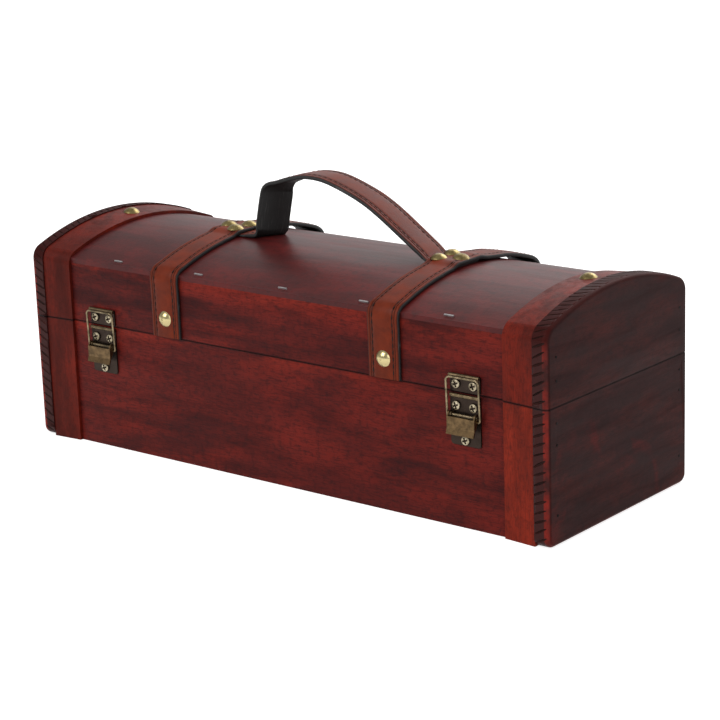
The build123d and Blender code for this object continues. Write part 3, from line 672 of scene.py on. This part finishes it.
@dataclass
class LeatherBand:
    """Flat leather band with rounded edges, a pressed crease and a stitch row beside each edge."""

    name: str
    body: str
    width: float
    thickness: float
    stitch_inset: float = STITCH_INSET
    stitch_pitch: float = 3.6 * MM
    stitch_length: float = 2.5 * MM
    stitch_radius: float = 0.46 * MM
    crease_inset: float = CREASE_INSET
    crease_depth: float = 0.28 * MM
    crown: float = 0.3 * MM
    step: float = 2.0 * MM

    def stations(self) -> list[Station]:
        """Places along the band. Each kind of band gives its own."""
        raise NotImplementedError

    def half_profile(self) -> list[tuple[float, float]]:
        """Distance from the band's edge and height above its underside, going up and inwards."""
        t, c, s = self.thickness, self.crease_inset, self.stitch_inset
        return [(0.35 * MM, 0.0), (0.0, 0.35 * MM), (0.0, t - 0.75 * MM), (0.2 * MM, t - 0.3 * MM),
                (0.7 * MM, t - 0.06 * MM), (c - 0.5 * MM, t), (c - 0.22 * MM, t - 0.05 * MM),
                (c, t - self.crease_depth), (c + 0.22 * MM, t - 0.03 * MM), (s - 0.4 * MM, t + 0.04 * MM),
                (s, t - 0.14 * MM), (s + 0.4 * MM, t + 0.05 * MM), (s + 2 * MM, t + 0.6 * self.crown)]

    def profile(self) -> list[tuple[float, float, int]]:
        """Closed outline of the band: across, height, and the number of the finish of the face after it."""
        half, side = self.half_profile(), self.width / 2
        left = [(-side + inset, height, 1 if i < 3 else 0) for i, (inset, height) in enumerate(half)]
        right = [(side - inset, height, 1 if i < 4 else 0) for i, (inset, height) in enumerate(half)]
        middle = [(0.0, self.thickness + self.crown, 0)]
        return [*left, *middle, *reversed(right)]

    def band(self, materials: Sequence[bpy.types.Material]) -> bpy.types.Object:
        """Builds the leather.

        Args:
            materials: Finish of the outer face, and of the edges and the underside.

        Returns:
            The band's object.
        """
        shape = bmesh.new()
        across = shape.verts.layers.float.new("across")
        along = shape.verts.layers.float.new("along")
        stations, profile = self.stations(), self.profile()
        ring = []
        for u, height, _ in profile:
            vert = shape.verts.new(stations[0].frame() @ Vector((u, height, 0)))
            vert[across] = u
            ring.append(vert)
        edges = [shape.edges.new((a, b)) for a, b in zip(ring, ring[1:] + ring[:1])]
        numbers = [number for _, _, number in profile]
        for before, after in zip(stations, stations[1:]):
            grown = bmesh.ops.extrude_edge_only(shape, edges=edges)["geom"]
            verts = [g for g in grown if isinstance(g, bmesh.types.BMVert)]
            faces = [g for g in grown if isinstance(g, bmesh.types.BMFace)]
            bmesh.ops.transform(shape, matrix=after.frame() @ before.frame().inverted(), verts=verts)
            for vert in verts:
                vert[along] = after.travel
            edges = self.in_order(edges, faces, numbers)
        bmesh.ops.holes_fill(shape, edges=[e for e in shape.edges if e.is_boundary])
        for face in shape.faces:
            if len(face.verts) > 4:
                face.material_index = 1
        bmesh.ops.recalc_face_normals(shape, faces=shape.faces)
        layer = shape.loops.layers.uv.new("band")
        for face in shape.faces:
            for loop in face.loops:
                loop[layer].uv = (loop.vert[across], loop.vert[along])
        return settle(shape, self.name, materials, self.body, smooth_angle=50.0)

    @staticmethod
    def in_order(edges: Sequence[bmesh.types.BMEdge], faces: Sequence[bmesh.types.BMFace],
                 numbers: Sequence[int]) -> list[bmesh.types.BMEdge]:
        """Finds the new edge opposite each old one, and numbers the finish of the face between.

        Args:
            edges: Edges that were extruded, in the profile's order.
            faces: Faces that were made.
            numbers: Finish number of each edge.

        Returns:
            The new edges, in the same order.
        """
        found = []
        for edge, number in zip(edges, numbers):
            face = next(f for f in edge.link_faces if f in faces)
            face.material_index = number
            found.append(next(e for e in face.edges if not set(e.verts) & set(edge.verts)))
        return found

    def stitches(self, material: bpy.types.Material) -> bpy.types.Object:
        """Lays two rows of stitches in the band's channels.

        Args:
            material: Finish of the thread.

        Returns:
            The stitches, as one object.
        """
        shape = bmesh.new()
        stations = self.stations()
        count = int(stations[-1].travel / self.stitch_pitch)
        for i in range(1, count):
            travel = i * self.stitch_pitch
            here = min(stations, key=lambda s: abs(s.travel - travel))
            slide = Matrix.Translation((0, 0, travel - here.travel))
            for sign in (-1, 1):
                u = sign * (self.width / 2 - self.stitch_inset)
                made = bmesh.ops.create_uvsphere(shape, u_segments=6, v_segments=5,
                                                 radius=self.stitch_radius)
                size = Matrix.Diagonal((1, 0.8, self.stitch_length / (2 * self.stitch_radius), 1))
                spot = Matrix.Translation((u, self.thickness - 0.10 * MM, 0))
                turn = here.frame() @ slide @ spot @ size
                bmesh.ops.transform(shape, matrix=turn, verts=made["verts"])
        return settle(shape, self.name + "_stitches", [material], self.body, smooth_angle=180.0)

    def make(self, top: bpy.types.Material, raw: bpy.types.Material, thread: bpy.types.Material,
             slot: str) -> None:
        """Builds the band and its stitches in place of the plain solid.

        Args:
            top: Finish of the outer face.
            raw: Finish of the edges and the underside.
            thread: Finish of the stitches.
            slot: Name of the record's material slot. It is not used.
        """
        leather = self.band([top, raw])
        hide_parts(self.name.removesuffix("_leather"))
        self.stitches(thread)


def stations_along(route: Sequence[Vector], across: Sequence[Vector],
                   shares: Sequence[float]) -> list[Station]:
    """Makes stations from a line of places.

    Args:
        route: Places along the band's underside.
        across: Width direction at each place.
        shares: Share of the band's thickness at each place.

    Returns:
        The stations.
    """
    made, travel = [], 0.0
    for i, place in enumerate(route):
        before, after = route[max(i - 1, 0)], route[min(i + 1, len(route) - 1)]
        if i:
            travel += (place - route[i - 1]).length
        made.append(Station(place, (after - before).normalized(), across[i], travel, shares[i]))
    return made


@dataclass(frozen=True)
class Dome:
    """Round top of the lid."""

    radius: float = 156.0 * MM
    centre: float = -37.0 * MM

    def height(self, depth: float) -> float:
        """Height of the dome at a depth."""
        return self.centre + math.sqrt(self.radius ** 2 - depth ** 2)


@dataclass
class LidStrap(LeatherBand):
    """Strap from the front edge of the lid over the dome and down the back."""

    centre: float = 0.0
    dome: Dome = Dome()

    def stations(self) -> list[Station]:
        """Places along the strap, from the front edge to the back."""
        front = [(-60.15, 71.6), (-60.15, 76), (-60.15, 82), (-60.2, 90), (-60.3, 98),
                 (-60.5, 103.5), (-60.1, 106.2)]
        lifts = [(-58.2, 0.4), (-54, 0.25), (-44, 0.15), (-32, 0.15), (-20, 0.2), (-14, 0.4),
                 (-10, 1.6), (-6, 1.5), (0, 1.35), (6, 1.5), (10, 1.7), (15, 0.9), (24, 0.8),
                 (34, 1.5), (44, 1.9), (52, 2.2), (57.5, 2.3)]
        back = [(61.2, 107.6), (62.7, 103.6), (62.2, 98), (60.7, 91.5), (60.25, 86), (60.2, 80.3)]
        over = [(y, self.dome.height(y * MM) / MM + lift) for y, lift in lifts]
        points = [Vector((self.centre, y * MM, z * MM)) for y, z in front + over + back]
        route = smooth_route(points, self.step)
        return stations_along(route, [Vector((-1, 0, 0))] * len(route), [1.0] * len(route))


@dataclass
class Handle(LeatherBand):
    """Handle that stands up steeply at the left, twists, and slopes down to the right strap."""

    pared_start: float = 66 * MM
    pared_length: float = 7 * MM
    pared_share: float = 0.52

    def stations(self) -> list[Station]:
        """Places along the handle, from its left end to its right end."""
        lie = [(-84, 119.1, 0), (-76, 119.1, 0), (-66, 119.1, 8), (-58, 119.1, 17), (-52.6, 119.8, 25),
               (-49.9, 122.8, 28), (-48.6, 129, 28), (-47.3, 135, 28), (-45.9, 141, 28), (-44.4, 146, 25),
               (-41.2, 149.0, 18), (-36, 151.0, 12), (-28, 153.8, 7), (-19, 155.8, 5), (-9, 156.0, 5),
               (0, 154.5, 5), (12, 150.7, 5), (23, 146.2, 5), (34, 140.0, 5), (48, 130.6, 4), (58, 123.8, 2),
               (63.0, 120.5, 1), (67, 119.2, 0), (76, 119.1, 0), (84, 119.1, 0)]
        points = [Vector((x * MM, 0, z * MM)) for x, z, _ in lie]
        turns = []
        for (a, b), (_, _, first), (_, _, last) in zip(zip(points, points[1:]), lie, lie[1:]):
            count = max(1, round((b - a).length / self.step))
            turns += [first + (last - first) * i / count for i in range(count)]
        turns.append(lie[-1][2])
        route = smooth_route(points, self.step)
        across = [Vector((math.sin(math.radians(turn)), math.cos(math.radians(turn)), 0))
                  for turn in turns]
        return stations_along(route, across, [self.pared(place) for place in route])

    def pared(self, place: Vector) -> float:
        """Share of the thickness that is left where the ends are pared thin under the straps."""
        inward = (self.pared_start - abs(place.x)) / self.pared_length
        return self.pared_share + (1 - self.pared_share) * min(max(inward, 0.0), 1.0)


@dataclass
class RopeEdge:
    """Slanted nicks cut along the rim of an end board, like a rope moulding."""

    half_depth: float = 64.0 * MM
    dome_radius: float = 160.0 * MM
    dome_centre: float = -37.0 * MM
    shoulder_turn: float = 21.5
    shoulder_radius: float = 8.0 * MM
    shoulder_height: float = 104.3 * MM
    middle: float = 172.0 * MM
    pitch: float = 4.8 * MM
    length: float = 9.0 * MM
    top_width: float = 1.0 * MM
    front_width: float = 1.3 * MM
    depth: float = 0.7 * MM
    slant: float = 26.0
    base_heights: tuple[float, float] = (4 * MM, 68 * MM)
    lid_heights: tuple[float, float] = (74.5 * MM, 103 * MM)
    shoulder_nicks: tuple[float, float] = (45.0, 72.0)
    top_slope: float = 0.2
    proud: float = 0.05 * MM
    width_play: float = 0.2
    slant_play: float = 6.0
    place_play: float = 0.3
    seed: int = 7

    def spots(self, tier: Tier) -> list[tuple[Vector, Vector]]:
        """Places and outward directions of the nicks in the YZ plane.

        Args:
            tier: Half of the case that the board belongs to.

        Returns:
            Pairs of a place and an outward direction.
        """
        base = tier is Tier.BASE
        low, high = self.base_heights if base else self.lid_heights
        count = round((high - low) / self.pitch)
        heights = [low + (high - low) * i / count for i in range(count + 1)]
        spots = [(Vector((0, side * self.half_depth, z)), Vector((0, side, 0)))
                 for side in (-1, 1) for z in heights]
        if not base:
            for side, turn in product((-1, 1), self.shoulder_nicks):
                out = Vector((0, side * math.sin(math.radians(turn)), math.cos(math.radians(turn))))
                heart = Vector((0, side * (self.half_depth - self.shoulder_radius), self.shoulder_height))
                spots.append((heart + out * self.shoulder_radius, out))
            reach = self.dome_radius * math.radians(self.shoulder_turn)
            number = round(2 * reach / self.pitch)
            for i in range(number + 1):
                angle = math.radians(self.shoulder_turn) * (2 * i / number - 1)
                out = Vector((0, math.sin(angle), math.cos(angle)))
                spots.append((Vector((0, 0, self.dome_centre)) + out * self.dome_radius, out))
        return spots

    def cutters(self, side: Side, tier: Tier, groove: bpy.types.Material) -> bpy.types.Object:
        """Makes the shapes that cut the nicks.

        Args:
            side: End of the case.
            tier: Half of the case.
            groove: Finish that the cut faces take.

        Returns:
            One object with every cutter.
        """
        chance = Random(self.seed + side.value * 3 + (5 if tier is Tier.LID else 0))
        shape = bmesh.new()
        for place, out in self.spots(tier):
            made = bmesh.ops.create_uvsphere(shape, u_segments=10, v_segments=7, radius=1.0)
            width = self.top_width if out.z > self.top_slope else self.front_width
            width *= chance.uniform(1 - self.width_play, 1 + self.width_play)
            size = Matrix.Diagonal((self.length / 2, width / 2, self.depth, 1))
            along = Vector((1, 0, 0))
            turn = Matrix((along, out.cross(along), out)).transposed().to_4x4()
            angle = self.slant + chance.uniform(-self.slant_play, self.slant_play)
            slant = Matrix.Rotation(math.radians(angle) * side.value, 4, "Z")
            shift = self.middle + chance.uniform(-self.place_play, self.place_play) * MM
            spot = place + Vector((side.value * shift, 0, 0)) + out * self.proud
            move = Matrix.Translation(spot) @ turn @ slant @ size
            bmesh.ops.transform(shape, matrix=move, verts=made["verts"])
        bmesh.ops.recalc_face_normals(shape, faces=shape.faces)
        mesh = bpy.data.meshes.new("nicks")
        shape.to_mesh(mesh)
        shape.free()
        mesh.materials.append(groove)
        cutter = bpy.data.objects.new("nicks", mesh)
        bpy.context.scene.collection.objects.link(cutter)
        return cutter


@dataclass
class EndBoard:
    """End board of the lid or the base with its carved rope edge."""

    side: Side
    tier: Tier
    rope: RopeEdge

    def make(self, node: bpy.types.Object, material: bpy.types.Material,
             groove: bpy.types.Material) -> None:
        """Builds the carved board in place of the plain solid.

        Args:
            node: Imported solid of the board.
            material: Finish of the board.
            groove: Finish inside the nicks.
        """
        name = f"{self.tier.value}_{self.side.word}_end_board"
        shape = bmesh.new()
        shape.from_mesh(node.data)
        bmesh.ops.remove_doubles(shape, verts=shape.verts, dist=0.001 * MM)
        for face in shape.faces:
            face.material_index = 0
        mesh = bpy.data.meshes.new(name + "_plain")
        shape.to_mesh(mesh)
        shape.free()
        mesh.materials.append(material)
        plain = bpy.data.objects.new(name + "_plain", mesh)
        bpy.context.scene.collection.objects.link(plain)
        cutter = self.rope.cutters(self.side, self.tier, groove)
        cut = plain.modifiers.new("carve", "BOOLEAN")
        cut.object, cut.operation, cut.solver = cutter, "DIFFERENCE", "EXACT"
        cut.material_mode, cut.use_self = "TRANSFER", True
        bpy.context.view_layer.update()
        solved = plain.evaluated_get(bpy.context.evaluated_depsgraph_get())
        carved = bpy.data.meshes.new_from_object(solved)
        shape = bmesh.new()
        shape.from_mesh(carved)
        for old in (plain, cutter):
            bpy.data.objects.remove(old)
        piece = settle(shape, name + "_carved", [material, groove], self.tier.value, smooth_angle=30.0)
        even = piece.modifiers.new("even", "WEIGHTED_NORMAL")
        even.keep_sharp = True
        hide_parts(name)


@dataclass
class CaseBoards:
    """Walls, bottom, dome skin and trim strips of the case."""

    finishes: Finishes

    def make(self, nodes: dict[str, bpy.types.Object]) -> None:
        """Dresses the boards.

        Args:
            nodes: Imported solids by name.
        """
        for name, node in nodes.items():
            if name.endswith("_trim"):
                # The right base trims take the lighter copy of the trim wood, which is painted light.
                bright = "right" in name and "base" in name
                dress(node, self.finishes.painted_light_trim if bright else self.finishes.trim)
            elif name.startswith("lid") and name.endswith("_wall"):
                dress(node, self.finishes.lid_wall)
            elif name.endswith("_wall"):
                dress(node, self.finishes.wall)
            elif name.endswith("dome_skin"):
                dress(node, self.finishes.dome)
            elif name.endswith("bottom_panel"):
                dress(node, self.finishes.bottom)


@dataclass
class Fittings:
    """Nails, brads, staples, hinges and latches."""

    finishes: Finishes

    def make(self, nodes: dict[str, bpy.types.Object]) -> None:
        """Dresses the metal pieces. Where two endings fit a name, the later one holds.

        Args:
            nodes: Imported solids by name.
        """
        made = self.finishes
        # The nails on the dome take the darker copy of the nail brass, which is painted shade.
        metal = {"nails": made.painted_shade_dome_nail, "strap_nails": made.nail, "brads": made.brad,
                 "staples": made.staple, "screws": made.screw, "plate": made.plate,
                 "lever": made.lever, "bail": made.wire, "pivot_pin": made.wire,
                 "hinge_pin": made.hinge, "leaf": made.hinge}
        for name, node in nodes.items():
            for word, finish in metal.items():
                if name.endswith(word):
                    dress(node, finish)


@dataclass
class Studio:
    """Floor, soft lamps, pale world and the camera of the photograph."""

    lens: float = 114.971
    target: tuple[float, float, float] = (9.531 * MM, 0.0, 56.604 * MM)
    distance: float = 1256.56 * MM
    azimuth: float = 0.68807
    elevation: float = 0.27051
    roll: float = -0.03487

    def camera(self) -> None:
        """Places the camera."""
        back = Vector((math.sin(self.azimuth) * math.cos(self.elevation),
                       -math.cos(self.azimuth) * math.cos(self.elevation), math.sin(self.elevation)))
        right = (-back).cross(Vector((0, 0, 1))).normalized()
        up = right.cross(-back)
        x_axis = right * math.cos(self.roll) + up * math.sin(self.roll)
        y_axis = up * math.cos(self.roll) - right * math.sin(self.roll)
        data = bpy.data.cameras.new("camera")
        data.sensor_width, data.lens = 36.0, self.lens
        data.clip_start, data.clip_end = 0.05, 60.0
        camera = bpy.data.objects.new("camera", data)
        turn = Matrix((x_axis, y_axis, back)).transposed().to_4x4()
        camera.matrix_world = Matrix.Translation(Vector(self.target) + back * self.distance) @ turn
        bpy.context.scene.collection.objects.link(camera)
        bpy.context.scene.camera = camera

    def lamp(self, name: str, place: Sequence[float], size: float, power: float,
             aim: Sequence[float] = (0, 0, 0.08)) -> None:
        """Adds one square soft lamp that points at the case.

        Args:
            name: Name of the lamp.
            place: Where it stands.
            size: Length of its side.
            power: Its power in watts.
            aim: Point that it faces.
        """
        data = bpy.data.lights.new(name, "AREA")
        data.shape, data.size, data.energy = "SQUARE", size, power
        lamp = bpy.data.objects.new(name, data)
        lamp.location = place
        lamp.rotation_mode = "QUATERNION"
        lamp.rotation_quaternion = (Vector(aim) - Vector(place)).to_track_quat("-Z", "Y")
        bpy.context.scene.collection.objects.link(lamp)

    def world(self, strength: float = 0.45) -> None:
        """Makes a pale world that lights softly and looks white to the camera.

        Args:
            strength: Brightness of its light on the case.
        """
        world = bpy.data.worlds.new("studio")
        world.use_nodes = True
        bpy.context.scene.world = world
        tree = world.node_tree
        ground = tree.nodes["Background"]
        ground.inputs["Color"].default_value = (1, 1, 1, 1)
        path = tree.nodes.new("ShaderNodeLightPath")
        level = tree.nodes.new("ShaderNodeMapRange")
        tree.links.new(path.outputs["Is Camera Ray"], level.inputs["Value"])
        level.inputs["To Min"].default_value = strength
        level.inputs["To Max"].default_value = 1.0
        tree.links.new(level.outputs["Result"], ground.inputs["Strength"])

    def floor(self, size: float = 24.0) -> None:
        """Lays the floor.

        Args:
            size: Length of its side.
        """
        shape = bmesh.new()
        bmesh.ops.create_grid(shape, x_segments=2, y_segments=2, size=size / 2)
        mesh = bpy.data.meshes.new("floor")
        shape.to_mesh(mesh)
        shape.free()
        mesh.materials.append(StudioFloor().material())
        floor = bpy.data.objects.new("floor", mesh)
        bpy.context.scene.collection.objects.link(floor)

    def make(self) -> None:
        """Builds the studio."""
        bpy.context.scene.view_settings.view_transform = "Standard"
        self.camera()
        self.world()
        self.floor()
        self.lamp("key", (-0.7, -2.3, 1.9), 1.5, 41.0)
        self.lamp("top_back", (0.3, 1.9, 1.6), 1.8, 30.0)
        self.lamp("sheen", (-0.8, 1.8, 1.3), 1.8, 11.0)
        self.lamp("fill", (2.2, -1.2, 1.1), 1.6, 12.0)


def main() -> None:
    """Builds the studio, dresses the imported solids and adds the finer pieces."""
    logging.basicConfig(level=logging.INFO, format="%(name)s: %(message)s")
    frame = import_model()
    nodes = frame["nodes"]
    Studio().make()
    finishes = Finishes()
    CaseBoards(finishes).make(nodes)
    Fittings(finishes).make(nodes)
    for side in Side:
        for tier in Tier:
            board = f"{tier.value}_{side.word}_end_board"
            EndBoard(side, tier, RopeEdge()).make(nodes[board], finishes.end_board, finishes.groove)
        strap = LidStrap(side.word + "_strap_leather", "lid", STRAP_WIDTH, LEATHER_THICKNESS,
                         centre=side.value * STRAP_CENTRE)
        strap.make(finishes.strap, finishes.raw, finishes.thread, "strap_leather")
    handle = Handle("handle_leather", "lid", HANDLE_WIDTH, LEATHER_THICKNESS)
    handle.make(finishes.handle, finishes.raw, finishes.thread, "handle_leather")


if __name__ == "__main__":
    main()
